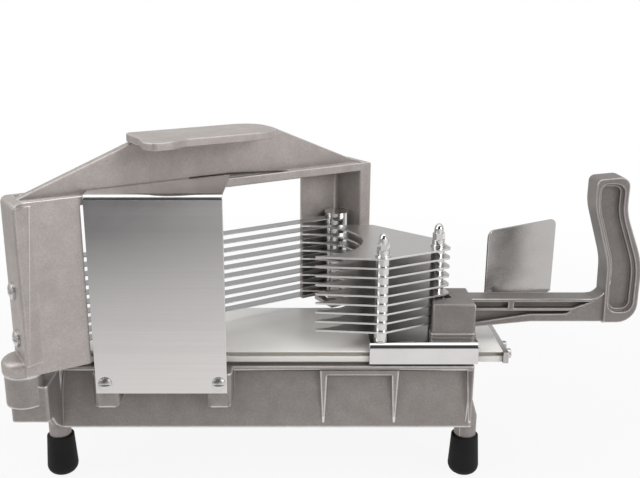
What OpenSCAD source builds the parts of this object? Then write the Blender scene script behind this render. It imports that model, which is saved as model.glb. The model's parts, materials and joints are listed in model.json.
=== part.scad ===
// Push-through tomato slicer: a cast base, a diagonal frame of tensioned blades that swings
// open about a vertical pin, and a sliding pusher whose finger plates pass between the blades.
// Millimetres, +X towards the handle, +Y to the back, +Z up, origin under the middle of the whole.

/* [Slicing] */
// Distance from one blade to the next, which is the thickness of a slice
slice_pitch = 6.35; // [5:0.05:8]
// Height of the lowest blade above the slide board
first_slice = 10.3; // [9:0.1:12]
// Number of blades in the frame
blade_count = 10; // [7:1:11]
// Width of a blade strip from its cutting edge to its back
blade_w = 9.5; // [7:0.5:12]
// Thickness of a blade strip
blade_t = 0.5; // [0.3:0.1:0.8]
// Angle in plan between the blades and the long side of the base
frame_angle = 31.6; // [29:0.2:33]

/* [Base] */
// Length of the cast base
base_len = 286; // [274:1:300]
// Depth of the cast base
base_depth = 89; // [84:1:94]
// Height of the base walls with the top plate
base_h = 47; // [40:1:55]
// Height of the base walls above the table
base_clear = 41; // [36:1:50]
// Thickness of the base walls and ribs
base_wall = 4; // [3:0.5:6]
// Thickness of the top plate with the land under the board
base_top_t = 4.8; // [4:0.2:7]
// Height of the land above the edge of the top plate
land_h = 2; // [1:0.2:3]
// How far the long walls lie back under the edge of the top plate
wall_recess = 6; // [4:0.5:8]
// Diameter of the four legs
leg_d = 15; // [13:0.5:17]
// Distance of a front leg's axis from the front of the base
leg_front = 13; // [11:0.5:16]
// Distance of a rear leg's axis from the back of the base
leg_rear = 2.5; // [1.5:0.5:14]
// Height of a rubber foot
foot_h = 30; // [24:1:34]
// Diameter of a rubber foot at its mouth
foot_top_d = 18.5; // [18:0.5:20]
// Diameter of a rubber foot near the table
foot_d = 21.3; // [20:0.1:24]
// Rounding of a rubber foot at the table
foot_edge = 6.5; // [3:0.5:8]
// Thickness of rubber under a leg
foot_sole = 7; // [4:0.5:10]

/* [Slide board] */
// Thickness of the plastic slide board
board_t = 7.7; // [7:0.1:10]
// Distance of the board's long edges from the long sides of the base
board_inset = 3; // [3:0.25:5]
// How far the board runs past the right end of the base
board_over = 18.6; // [14:0.2:26]
// Height of the guide groove in the board's long edges
groove_h = 2.7; // [2.2:0.1:3.5]
// Thickness of the board over the guide groove
groove_over = 1; // [0.8:0.1:1.8]
// Depth of the guide groove
groove_d = 3; // [2.5:0.25:4]
// Thickness of the end stop plate
stop_t = 3.6; // [2:0.2:5]

/* [Blade frame] */
// Length of the frame from the pivot to its far end
frame_len = 263; // [258:1:268]
// Thickness of the frame from front to back
frame_t = 28; // [24:1:32]
// How far the frame's left end lies outside the pivot
frame_over = 2; // [1:0.5:3]
// Height of the frame's feet above the base
frame_lift = 5.2; // [4:0.2:7]
// Clear height of the window above the top blade
window_head = 36; // [28:1:44]
// Width of the left post across its front
left_post = 40; // [37:1:42]
// Width of the right post across its front
right_post = 10.5; // [9:0.5:12]
// Width of the right post at its back
right_root = 16; // [14:0.5:18]
// Width of the flange behind the window's left side
left_flange = 24; // [18:1:30]
// Width of the flange behind the window's right side
right_flange = 46.5; // [42:0.5:50]
// Thickness of the flanges behind the window
flange_wall = 4; // [3:0.5:4.5]
// Thickness of the left post's front wall
post_wall = 3.2; // [2.4:0.2:3.4]
// Thickness of the deck over the window
deck_t = 3; // [2.5:0.5:5]
// Height of the rim round the deck
rim_h = 2.7; // [2:0.1:4]
// Thickness of the rim round the deck
rim_t = 2.6; // [2:0.2:4]
// How far the left end cap stands in front of the left post
cap_out = 4; // [2:0.5:6]
// Thickness of the stiffening web on the deck
web_t = 7; // [5:0.5:9]
// Height of the web above the rim
web_h = 30; // [24:1:36]
// Length of the palm pad along the web
pad_len = 95; // [85:1:100]
// Width of the palm pad from front to back
pad_w = 46; // [40:1:52]
// Thickness of the palm pad
pad_t = 4.5; // [3.5:0.5:7]
// Diameter of the rods that hold the blades
rod_d = 19; // [16:0.5:19]
// Diameter of the pin through the blade ends in each rod
blade_pin_d = 3; // [2:0.5:4]
// Diameter of the tension screws, which pass between two blades
tension_d = 5; // [4:0.5:5]

/* [Pivot and lock] */
// How far the pivot lies outside the left end of the base
pivot_out_x = 8; // [6:0.5:10]
// How far the pivot lies in front of the base
pivot_out_y = 20; // [18:0.5:22]
// Diameter of the pivot pin
pivot_d = 10; // [8:0.5:12]
// Radius of the frame's lug round the pivot
lug_r = 13.5; // [13.5:0.5:16]
// Height of the frame's lug
lug_h = 9.5; // [8.5:0.5:13]
// Radius of the base's boss under the lug
boss_r = 12.5; // [11:0.5:13]
// Thickness of the washer between boss and lug
washer_t = 1.3; // [0.8:0.1:2]
// Diameter of the lock screw
lock_d = 6; // [5:0.5:8]
// Distance of the lock screw beyond the frame's far end
lock_out = 14; // [13.5:0.5:18]
// Diameter of the lock knob
knob_d = 24; // [20:1:26]
// Thickness of the lock tab under the right post
tab_t = 4; // [3:0.5:6]
// Width of the lock tab
tab_w = 16; // [14:0.5:18]
// Distance of the lock tab's tip beyond the frame's far end
tab_out = 22; // [20:0.5:26]

/* [Front guard] */
// Distance of the guard's left edge from the left end of the base
guard_x = 35.5; // [34:0.5:40]
// Width of the front guard
guard_w = 85.9; // [76:0.1:92]
// Thickness of the guard's sheet
guard_t = 1.2; // [0.8:0.1:2]
// How far the guard stands in front of the base
guard_out = 12.2; // [11.6:0.2:14]
// Height of the guard's lower edge over the foot of the base walls
guard_low = 31.8; // [26:0.2:34]
// Outside radius of the bend at the guard's top
guard_bend = 4; // [3:0.5:6]
// Width of the bosses that carry the guard, at the wall
guard_boss_w = 17.4; // [15:0.2:21]

/* [Carriage and handle] */
// Distance of the resting carriage from the end stop
carriage_rest = 16.8; // [16:0.2:28]
// Length of the carriage along the board
carriage_len = 72.4; // [72.2:0.2:80]
// Thickness of the carriage's top plate
carriage_t = 2.55; // [2:0.05:3]
// Outside radius of the bend between the carriage's top and its flanges
carriage_bend = 4.5; // [3:0.5:5]
// Thickness of the slide strips under the carriage
strip_t = 3.95; // [3:0.05:5]
// Thickness of the carriage's side flanges
flange_t = 2.2; // [1.5:0.1:2.5]
// Length of the cast block
block_len = 30; // [26:0.5:34]
// Depth of the cast block
block_w = 36; // [32:0.5:40]
// Height of the cast block
block_h = 23.5; // [20:0.5:28]
// Thickness of the arm
arm_t = 14; // [10:0.5:16]
// Thickness of the grip
grip_t = 18; // [15:0.5:22]
// Distance from the block to the grip
arm_len = 75; // [68:1:85]
// Height of the grip above the arm's lower edge
grip_h = 101; // [92:1:110]

/* [Finger plates] */
// Thickness of a finger plate
plate_t = 1.2; // [0.8:0.1:1.6]
// Radius of the round recess for the tomato
recess_r = 39.5; // [36:0.5:41]
// Diameter of the studs through the plates
stud_d = 5; // [4:0.5:6]
// Diameter of the spacers on the studs
spacer_d = 9.5; // [8.5:0.25:10.5]
// Length of the hand guard
hand_guard_len = 66; // [56:1:72]
// Height of the hand guard
hand_guard_h = 55; // [45:1:62]
// Thickness of the hand guard's sheet
hand_guard_t = 1.5; // [1:0.1:2]

/* [Clearances] */
// Gap round a pin, screw or stud in its hole, on the radius
hole_gap = 0.05; // [0.02:0.01:0.1]
// Gap between the slide strips and the board
slide_gap = 0.3; // [0.2:0.05:0.5]
// Gap between the carriage's flanges and the board's edges
side_gap = 0.8; // [0.5:0.1:1]
// Gap between the swinging frame and what it passes over
swing_gap = 0.25; // [0.2:0.05:0.5]
// Gap between the finger plates and the cast block
block_gap = 1.2; // [0.8:0.1:2]

/* [Hidden] */
$fn = 64;
cut = 1;
plate_count = blade_count - 1;
BLADES = [for (k = [1:blade_count]) str("blade_", k)];
PLATES = [for (k = [1:plate_count]) str("finger_plate_", k)];

// Heights, from the table up
base_top = base_clear + base_h;
plate_low = base_top - base_top_t;
plate_top = base_top - land_h;
board_top = base_top + board_t;
frame_low = base_top + frame_lift;
blade_top = blade_z(blade_count);
window_top = blade_top + window_head;
deck_top = window_top + deck_t;
rim_top = deck_top + rim_h;
web_top = rim_top + web_h;
car_low = base_top - 0.5;
car_under = board_top + slide_gap + strip_t;
car_top = car_under + carriage_t;

// Places in plan, before the origin is moved under the middle: x from the middle of the base,
// y from its front
base_x = base_len/2;
board_y0 = board_inset;
board_y1 = base_depth - board_inset;
board_x1 = base_x + board_over;
leg_x = base_x - 1.5;
leg_y = [leg_front, base_depth - leg_rear];
pivot = [-base_x - pivot_out_x, -pivot_out_y];
half_t = frame_t/2;
cap_t = 6;
cap_corner = 1.5;
cap_foot = 9.5;
cap_rear = 2.5;
blade_v = -1;
web_v = -1.5;
web_foot = 2.5;
tab_v = 1;
tab_corner = 5;
lock_boss_r = lock_d/2 + 8;
// The lock screw stands against the tab's front edge
lock_at = [frame_len + lock_out, tab_v - tab_w/2 - lock_d/2 - swing_gap];
lock = pivot + turn(lock_at);
car_x1 = board_x1 - carriage_rest;
car_x0 = car_x1 - carriage_len;
block_x0 = car_x1 - block_len - 0.3;
block_y0 = 10.3;
arm_y = block_y0 + block_w/2;
grip_x = car_x1 + arm_len;
arm_low = car_top + block_h - 16.2;
grip_w = 35;

// Middle of the whole in plan
left_end = pivot.x - lug_r;
right_end = grip_x + grip_w;
front_end = pivot.y + turn([cap_corner - frame_over, cap_corner - half_t - cap_out]).y - cap_corner;
rear_end = pivot.y + turn([frame_len + tab_out - tab_corner, tab_v + tab_w/2 - tab_corner]).y + tab_corner;
middle = [(left_end + right_end)/2, (front_end + rear_end)/2];

// The rods' axes, along and across the frame
end_wall = 7;
rod_in = end_wall + rod_d/2 + 0.2;
left_rod = [rod_in, blade_v];
// The right rod leans into a shallow seat in the right post's inner face
rod_seat = 0.7;
right_face = frame_len - right_post - (right_root - right_post)*(half_t + blade_v)/(frame_t - flange_wall);
right_rod = [right_face + rod_seat - rod_d/2, blade_v];
// The rods' screws lie midway between two blades
tension_z = [plate_z(2), plate_z(blade_count - 3)];
fixed_z = [plate_z(3), plate_z(blade_count - 3)];
rod_low = frame_low + tab_t + 1.5;
rod_high = blade_top + 4;
// How far a blade reaches past its pin
blade_grip = 5;

// The finger plates' outline, from the front tip round by the right, and the studs through it
stud_front = [car_x0 + 8, 8];
stud_rear = [car_x0 + 48, 33];
recess_c = [car_x0 - 42, base_depth/2 + 2.5];
PLATE = [[car_x0 - 36, 6.5], [car_x0 + 9, 1.5], [car_x0 + 56.5, 26],
         [car_x0 + 50, 50], [car_x0 + 8, base_depth - 0.5], [car_x0 - 45, base_depth - 2.5]];
PLATE_R = [0, 5, 5, 6, 5, 0];
collar_h = 4.6;
nut_af = 7.3;
nut_h = 4.5;
dome_h = 6.5;

function turn(p) =
    [p.x*cos(frame_angle) - p.y*sin(frame_angle), p.x*sin(frame_angle) + p.y*cos(frame_angle)];
function blade_z(k) = board_top + first_slice + slice_pitch*(k - 1);
function plate_z(k) = blade_z(k) + slice_pitch/2;
function unit(v) = v/norm(v);

// The y of a line along the frame, v behind its middle, at a given x
function frame_y(x, v) = pivot.y + (x - pivot.x)*tan(frame_angle) + v/cos(frame_angle);

// Points of the arc of radius r that rounds the corner b between a and c
function corner(a, b, c, r, n = 6) =
    let (u = unit(a - b), w = unit(c - b), half = acos(u*w)/2)
    let (mid = b + unit(u + w)*r/sin(half), s = b + u*r/tan(half) - mid, e = b + w*r/tan(half) - mid)
    let (a0 = atan2(s.y, s.x), sweep = (atan2(e.y, e.x) - a0 + 540)%360 - 180)
    [for (i = [0:n]) mid + r*[cos(a0 + sweep*i/n), sin(a0 + sweep*i/n)]];

// An outline with each corner rounded by its own radius
function rounded(pts, radii, n = 6) =
    let (m = len(pts))
    [for (i = [0:m - 1]) each radii[i] > 0
        ? corner(pts[(i + m - 1)%m], pts[i], pts[(i + 1)%m], radii[i], n) : [pts[i]]];

// An outline moved outwards by d, its points running anticlockwise
function grown(pts, d) =
    let (m = len(pts))
    [for (i = [0:m - 1])
        let (e = unit(pts[i] - pts[(i + m - 1)%m]), f = unit(pts[(i + 1)%m] - pts[i]))
        let (a = [e.y, -e.x], b = [f.y, -f.x])
        pts[i] + (a + b)*d/(1 + a*b)];

module placed() { translate([-middle.x, -middle.y, 0]) children(); }
module in_frame() { placed() translate([pivot.x, pivot.y, 0]) rotate(frame_angle) children(); }

// A vertical prism over an outline
module prism(pts, z0, z1) { translate([0, 0, z0]) linear_extrude(z1 - z0) polygon(pts); }
// A wall drawn in y and z and run along x
module along_x(pts, x0, x1) {
    translate([x0, 0, 0]) rotate([90, 0, 90]) linear_extrude(x1 - x0) polygon(pts);
}
// A plate drawn in x and z and run along y
module along_y(pts, y0, y1) {
    translate([0, y1, 0]) rotate([90, 0, 0]) linear_extrude(y1 - y0) polygon(pts);
}
module ring(r_out, r_in, z0, z1) {
    translate([0, 0, z0]) difference() {
        cylinder(r = r_out, h = z1 - z0);
        translate([0, 0, -cut]) cylinder(r = r_in, h = z1 - z0 + 2*cut);
    }
}
// A slotted pan-head screw with its head's seat at the origin and its shank down -Z
module pan_screw(d, shank, head_d, head_h) {
    slot_w = head_d*0.14;
    difference() {
        union() {
            intersection() {
                cylinder(d = head_d, h = head_h);
                translate([0, 0, head_h - head_d*0.9]) sphere(r = head_d*0.9);
            }
            translate([0, 0, -shank]) cylinder(d = d, h = shank + cut/2);
        }
        translate([-head_d, -slot_w/2, head_h*0.5]) cube([2*head_d, slot_w, head_h]);
    }
}

// Base casting

// Each rib: its middle and width at the top, then at its foot
left_rib = [-base_x + 5.9, 8.2, -base_x + 4.4, 2];
mid_ribs = [[42, 5, 42, 1.2], [90, 5, 90, 1.2]];
right_rib = [base_x - 2.6, 5.2, base_x - 1, 2];
rear_ribs = [left_rib, [-50, 5, -50, 1.2], [50, 5, 50, 1.2], right_rib];
guard_x0 = -base_x + guard_x;
guard_boss_x = [guard_x0 + 6.2, guard_x0 + guard_w - 5.5];
guard_boss_low = base_clear + 21.3;
guard_boss_edge = 3.2;
guard_screw_z = base_clear + 38.6;
// How far the ribs lie back from the edge of the top plate, and how much lower the middle panel starts
rib_back = 0.2;
panel_drop = 4;
// Cross ribs under the top plate
cross_x = [-48, 48];
cross_h = 18;
land_in = 5;
base_corner = 9;
leg_cone = 22;
bracket_low = base_clear + 18;
bracket_half = 8.5;
bracket_front = 7;
boss_low = base_clear + 30;
lock_low = base_clear + 27;
pin_low = bracket_low + 4;
board_screw_x = [-95, 20, 118];
board_screw_d = 5;

// One long wall: it leans in from its foot to under the edge of the top plate
module long_wall() {
    along_x([[0, base_clear], [base_wall, base_clear], [wall_recess + base_wall, plate_low + cut],
             [wall_recess, plate_low + cut]], -base_x, base_x);
}
// A wedge rib that fills the lean of the wall and tapers to its foot
module wall_rib(r) {
    reach = r[1] + r[3];
    intersection() {
        along_x([[rib_back, base_clear + 3], [wall_recess + 1, plate_low - 3],
                 [wall_recess + 1, plate_low + cut], [rib_back, plate_low + cut]],
                r[0] - reach, r[0] + reach);
        along_y([[r[0] - r[1]/2, plate_low + cut], [r[2] - r[3]/2, base_clear], [r[2] + r[3]/2, base_clear],
                 [r[0] + r[1]/2, plate_low + cut]], -cut, wall_recess + 2);
    }
}
module guard_boss(x) {
    w = guard_boss_w/2;
    back = wall_recess + 2;
    intersection() {
        along_y(rounded([[x - w, plate_top], [x - w, guard_boss_low], [x + w, guard_boss_low],
                         [x + w, plate_top]], [0, 4, 4, 0]), -guard_out, back);
        prism(rounded([[x - w, -guard_out], [x + w, -guard_out], [x + w, back], [x - w, back]],
                      [guard_boss_edge, guard_boss_edge, 0, 0]), guard_boss_low - cut, plate_top + cut);
    }
}
// A boss on a block, and a gusset that runs down from the block to the foot of the wall
module pivot_bracket() {
    left = pivot.x - bracket_half;
    right = 8 - base_x;
    front = pivot.y - bracket_front;
    gusset = bracket_low + 7;
    translate([pivot.x, pivot.y, boss_low]) cylinder(r = boss_r, h = frame_low - washer_t - boss_low);
    prism(rounded([[left, front], [right, front], [right, base_wall], [-base_x, 14],
                   [left, pivot.y + bracket_front]], [2, 2, 0, 0, 2]), bracket_low, plate_top - 2);
    along_x([[front + 1, gusset], [front + 14, base_clear + 9], [-2, base_clear + 1],
             [base_wall, base_clear + 1], [base_wall, gusset]], right - 4, right);
}
// A leg that runs out into the corner of the base as a cone
module leg(x, y) {
    top = base_clear + 3;
    translate([x, y, foot_sole]) cylinder(d = leg_d, h = top - foot_sole);
    translate([x, y, top]) cylinder(d1 = leg_d, d2 = 2, h = leg_cone);
    intersection() {
        translate([x, y, base_clear]) cylinder(d = leg_d, h = base_h);
        translate([-base_x, 0, base_clear]) cube([base_len, base_depth, plate_low + cut - base_clear]);
    }
}
// The walls, their ribs and the top plate, inside the rounded plan
module base_shell() {
    plan = [[-base_x, 0], [base_x, 0], [base_x, base_depth], [-base_x, base_depth]];
    intersection() {
        union() {
            translate([-base_x, 0, plate_low]) cube([base_len, base_depth, plate_top - plate_low]);
            long_wall();
            translate([0, base_depth, 0]) mirror([0, 1, 0]) long_wall();
            for (s = [-1, 1])
                translate([s*(base_x - base_wall/2) - base_wall/2, 0.5, base_clear])
                    cube([base_wall, base_depth - 1, base_h - base_top_t + cut]);
            for (r = concat([left_rib], mid_ribs, [right_rib])) wall_rib(r);
            for (r = rear_ribs) translate([0, base_depth, 0]) mirror([0, 1, 0]) wall_rib(r);
            translate([mid_ribs[0][0], rib_back, plate_low - panel_drop])
                cube([mid_ribs[1][0] - mid_ribs[0][0], wall_recess + 1, panel_drop + cut]);
        }
        prism(rounded(plan, [base_corner, 2, 3, 3]), base_clear - cut, base_top);
    }
}
module lock_bracket() {
    back = base_depth - wall_recess - 1;
    translate([lock.x, lock.y, lock_low]) cylinder(r = lock_boss_r, h = frame_low - swing_gap - lock_low);
    prism([[lock.x - lock_boss_r, lock.y], [lock.x - 2*lock_boss_r, back], [lock.x + 2*lock_boss_r, back],
           [lock.x + lock_boss_r, lock.y]], lock_low, plate_low);
}
module base_casting() {
    color([0.66, 0.64, 0.62]) placed() difference() {
        union() {
            base_shell();
            translate([land_in - base_x, land_in, plate_low])
                cube([base_len - 2*land_in, base_depth - 2*land_in, base_top_t]);
            for (x = cross_x)
                translate([x - base_wall/2, wall_recess, plate_low - cross_h])
                    cube([base_wall, base_depth - 2*wall_recess, cross_h + cut]);
            for (x = guard_boss_x) guard_boss(x);
            for (x = [-leg_x, leg_x], y = leg_y) leg(x, y);
            pivot_bracket();
            lock_bracket();
        }
        translate([pivot.x, pivot.y, pin_low]) cylinder(d = pivot_d + 2*hole_gap, h = base_h);
        translate([lock.x, lock.y, lock_low + 7]) cylinder(d = lock_d + 2*hole_gap, h = base_h);
        for (x = guard_boss_x)
            translate([x, -guard_out - cut, guard_screw_z]) rotate([-90, 0, 0])
                cylinder(d = 4 + 2*hole_gap, h = 12 + cut);
        for (x = board_screw_x)
            translate([x, base_depth/2, base_clear])
                cylinder(d = board_screw_d + 2*hole_gap, h = base_h + cut);
    }
}
module rubber_foot(x, y) {
    color([0.09, 0.09, 0.095]) placed() translate([x, y, 0]) difference() {
        rotate_extrude() polygon(concat([[0, 0]],
            [for (a = [-90:15:0]) [foot_d/2 - foot_edge + foot_edge*cos(a), foot_edge + foot_edge*sin(a)]],
            [[foot_top_d/2, foot_h - 1], [foot_top_d/2 - 1, foot_h], [0, foot_h]]));
        translate([0, 0, foot_sole]) cylinder(d = leg_d + 2*hole_gap, h = foot_h);
    }
}

// Slide board and what is screwed to the base

board_relief = norm([left_post, half_t]) + 1.5;
stop_screw_y = [8.8, 22, base_depth - 22, base_depth - 8.8];
stop_screw_z = base_top + board_t/2;
module slide_board() {
    groove_z = board_top - groove_over - groove_h;
    color([0.93, 0.92, 0.88]) placed() difference() {
        translate([-base_x, board_y0, base_top]) cube([board_x1 + base_x, board_y1 - board_y0, board_t]);
        for (y = [board_y0 - cut, board_y1 - groove_d])
            translate([-base_x - cut, y, groove_z])
                cube([board_x1 + base_x + 2*cut, groove_d + cut, groove_h]);
        translate([pivot.x, pivot.y, base_top - cut]) cylinder(r = board_relief, h = board_t + 2*cut);
        for (x = board_screw_x)
            translate([x, base_depth/2, base_top - cut])
                cylinder(d = board_screw_d + 2*hole_gap, h = board_t - 2 + cut);
        for (y = stop_screw_y)
            translate([board_x1 - 12, y, stop_screw_z]) rotate([0, 90, 0])
                cylinder(d = 4 + 2*hole_gap, h = 14);
    }
}
module board_screws() {
    color("silver") placed() for (x = board_screw_x)
        translate([x, base_depth/2, plate_low]) rotate([180, 0, 0])
            pan_screw(board_screw_d, base_top_t + board_t - 2.5, 9, 3);
}
module end_stop() {
    color([0.75, 0.75, 0.76]) placed() difference() {
        translate([board_x1, 0.5, base_top]) cube([stop_t, base_depth - 1, board_t]);
        for (y = stop_screw_y)
            translate([board_x1 - cut, y, stop_screw_z]) rotate([0, 90, 0])
                cylinder(d = 4 + 2*hole_gap, h = stop_t + 2*cut);
    }
}
module end_stop_screws() {
    color("silver") placed() for (y = stop_screw_y)
        translate([board_x1 + stop_t, y, stop_screw_z]) rotate([0, 90, 0])
            pan_screw(4, stop_t + 10, 6.6, 3.8);
}
guard_y = -guard_out - guard_t;
guard_z0 = base_clear + guard_low;
guard_z1 = rim_top + swing_gap + guard_t;
guard_back = web_v - web_t/2 - 1.5;
// The sheet's upright, its bend and its flange over the frame's front rim, cut along the web
module front_guard() {
    x0 = guard_x0;
    x1 = guard_x0 + guard_w;
    b = guard_bend;
    color([0.78, 0.78, 0.78]) placed() difference() {
        union() {
            translate([x0, guard_y, guard_z0]) cube([guard_w, guard_t, guard_z1 - b - guard_z0]);
            along_x(concat([for (a = [180:-15:90]) [guard_y + b + b*cos(a), guard_z1 - b + b*sin(a)]],
                           [for (a = [90:15:180]) [guard_y + b + (b - guard_t)*cos(a),
                                                   guard_z1 - b + (b - guard_t)*sin(a)]]), x0, x1);
            prism([[x0, guard_y + b], [x1, guard_y + b], [x1, frame_y(x1, guard_back)],
                   [x0, frame_y(x0, guard_back)]], guard_z1 - guard_t, guard_z1);
        }
        for (x = guard_boss_x)
            translate([x, guard_y - cut, guard_screw_z]) rotate([-90, 0, 0])
                cylinder(d = 4 + 2*hole_gap, h = guard_t + 2*cut);
    }
}
module guard_screws() {
    color("silver") placed() for (x = guard_boss_x)
        translate([x, guard_y, guard_screw_z]) rotate([90, 0, 0]) pan_screw(4, guard_t + 10, 9, 2.4);
}
module pivot_pin() {
    color("silver") placed() translate([pivot.x, pivot.y, pin_low])
        cylinder(d = pivot_d, h = frame_low + lug_h - lug_roof - 1 - pin_low);
}
module pivot_washer() {
    color("silver") placed() translate([pivot.x, pivot.y, 0])
        ring(boss_r + 0.5, pivot_d/2 + hole_gap, frame_low - washer_t, frame_low - swing_gap);
}
// The lock screw's knob bears on the tab's edge
knob_low = frame_low + tab_t + swing_gap;
knob_h = 14;
knob_bore = 9;
module lock_knob() {
    r = knob_d/2;
    color([0.1, 0.1, 0.1]) placed() translate([lock.x, lock.y, knob_low]) difference() {
        rotate_extrude() polygon(concat([[0, 0], [r - 3, 0], [r - 3, 3], [r, 4]],
            [for (a = [0:18:90]) [r - 3 + 3*cos(a), knob_h - 3 + 3*sin(a)]], [[0, knob_h]]));
        for (a = [0:45:315]) rotate(a) translate([r + 2.4, 0, 3]) cylinder(r = 3.6, h = knob_h);
        translate([0, 0, -cut]) cylinder(d = lock_d + 2*hole_gap, h = knob_bore + cut);
    }
}
module lock_stud() {
    color("silver") placed() translate([lock.x, lock.y, lock_low + 8])
        cylinder(d = lock_d, h = knob_low + knob_bore - lock_low - 8);
}

// Blade frame

// The left post is a channel open to the window, the right one a block with a flange behind the window
left_plan = [[-frame_over, -half_t - cap_out], [0, -half_t - cap_out], [cap_foot, -half_t],
             [left_post, -half_t], [left_post, post_wall - half_t], [end_wall, post_wall - half_t],
             [end_wall, half_t - flange_wall], [left_flange, half_t - flange_wall], [left_flange, half_t],
             [-frame_over, half_t]];
left_radii = [cap_corner, 0.5, 3, 1, 1, 0, 0, 1, 1, cap_rear];
right_plan = [[frame_len - right_post, -half_t], [frame_len, -half_t], [frame_len, half_t],
              [frame_len - right_flange, half_t], [frame_len - right_flange, half_t - flange_wall],
              [frame_len - right_root, half_t - flange_wall]];
left_cap = [[-frame_over, -half_t - cap_out], [0, -half_t - cap_out], [cap_t - 1, -half_t], [cap_t, half_t],
            [-frame_over, half_t]];
right_cap = [[frame_len - cap_t, -half_t], [frame_len, -half_t], [frame_len, half_t],
             [frame_len - cap_t, half_t]];
lug_roof = 3;
// The web's outline along the frame: its ends in the caps, the foot of each slope and its top corners
web_l = [3, 8, 83];
web_r = [frame_len - 78, frame_len - 12, frame_len - 3];
web_low = rim_top + 2;
// A relief in the web's front just above the rim, deep at its left and running out to the right
relief_u = [118, 150, 196];
relief_h = 1.6;
relief_d = 3.5;
pad_u = web_l[2] - 7;
// The palm pad in plan, with a nose at its left front and a round right end
pad_back = web_v + web_t/2 - 0.5;
pad_front = pad_back - pad_w;
pad_plan = rounded([[pad_u, pad_back], [pad_u, pad_front + 20], [pad_u - 4, pad_front + 3],
                    [pad_u, pad_front - 5], [pad_u + 12, pad_front - 5], [pad_u + 23, pad_front + 1],
                    [pad_u + pad_len, pad_front], [pad_u + pad_len, pad_back]],
                   [5, 6, 4, 5, 6, 8, 20, 16]);
module rim(u0, u1, v0, v1) {
    translate([u0, v0, deck_top - cut]) cube([u1 - u0, v1 - v0, rim_h + cut]);
}
module pivot_lug() {
    translate([0, 0, frame_low]) rotate_extrude() polygon(concat([[0, 0], [lug_r, 0]],
        [for (a = [0:15:90]) [lug_r - 4 + 4*cos(a), lug_h - 4 + 4*sin(a)]], [[0, lug_h]]));
}
// Posts, caps, deck and rims, with the outer corners rounded
module portal() {
    intersection() {
        union() {
            difference() {
                prism(rounded(left_plan, left_radii), frame_low, deck_top);
                translate([-2*frame_over, -half_t - 2*cap_out, frame_low - cut])
                    cube([left_post, 2*cap_out, lug_h]);
            }
            prism(rounded(right_plan, [1.5, 2, 2, 1, 1, 3]), frame_low + tab_t, deck_top);
            prism(rounded(left_cap, [cap_corner, 0.5, 0.5, 0, cap_rear]), deck_top - cut, rim_top);
            prism(rounded(right_cap, [0, 2, 2, 0]), deck_top - cut, rim_top);
            translate([3, -half_t, window_top]) cube([frame_len - 6, frame_t, deck_t]);
            rim(3, frame_len - 3, -half_t, -half_t + rim_t);
            rim(3, frame_len - 3, half_t - rim_t, half_t);
        }
        along_y(rounded([[-frame_over, 0], [frame_len, 0], [frame_len, rim_top], [-frame_over, rim_top]],
                        [0, 0, 3, 4.5]),
                -half_t - cap_out, half_t);
    }
}
// The floors that carry the rods
module rod_feet() {
    u0 = right_rod.x - rod_d/2 - 1;
    v0 = blade_v - rod_d/2;
    translate([-frame_over, -half_t, frame_low]) cube([left_post + frame_over, frame_t, rod_low - frame_low]);
    translate([u0, v0, frame_low + tab_t])
        cube([frame_len - 2 - u0, half_t - v0, rod_low - frame_low - tab_t]);
    translate([u0, v0, frame_low]) cube([tab_u0 - 0.5 - u0, half_t - v0, tab_t + cut/2]);
}
module web() {
    front = web_v - web_t/2;
    difference() {
        union() {
            along_y([[web_l[0], deck_top - cut], [web_l[0], rim_top], [web_l[1], web_low],
                     [web_l[2], web_top], [web_r[0], web_top], [web_r[1], web_low], [web_r[2], rim_top],
                     [web_r[2], deck_top - cut]], front, front + web_t);
            translate([0, web_v, deck_top])
                along_x([[-web_t/2 - web_foot, -cut], [web_t/2 + web_foot, -cut], [web_t/2 + web_foot, 0],
                         [web_t/2, web_foot], [-web_t/2, web_foot], [-web_t/2 - web_foot, 0]],
                        web_l[0], web_r[2]);
        }
        along_y([[relief_u[0], deck_top + 0.5], [relief_u[2], deck_top + 0.5], [relief_u[2], deck_top + 1.5],
                 [relief_u[1], rim_top + relief_h], [relief_u[0], rim_top + relief_h]],
                front - web_foot - cut, front + relief_d);
    }
}
module frame_casting() {
    color([0.66, 0.64, 0.62]) in_frame() difference() {
        union() {
            portal();
            rod_feet();
            web();
            prism(pad_plan, web_top - 0.5, web_top + pad_t);
            pivot_lug();
        }
        translate([0, 0, frame_low - cut]) cylinder(d = pivot_d + 2*hole_gap, h = lug_h - lug_roof + cut);
        for (p = [left_rod, right_rod])
            translate([p.x, p.y, rod_low]) cylinder(d = rod_d + 2*hole_gap, h = rod_high + 0.5 - rod_low);
        for (z = tension_z)
            translate([-frame_over - cut, blade_v, z]) rotate([0, 90, 0])
                cylinder(d = tension_d + 2*hole_gap, h = rod_in + frame_over);
        for (z = fixed_z)
            translate([right_rod.x, blade_v, z]) rotate([0, 90, 0])
                cylinder(d = tension_d + 2*hole_gap, h = frame_len + cut - right_rod.x);
        for (p = tab_bolts)
            translate([p.x, p.y, frame_low]) cylinder(d = 4 + 2*hole_gap, h = tab_t + 9);
    }
}
tab_u0 = frame_len - 14;
tab_bolts = [[frame_len - 6, tab_v - 4], [frame_len - 6, tab_v + 4]];
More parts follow.
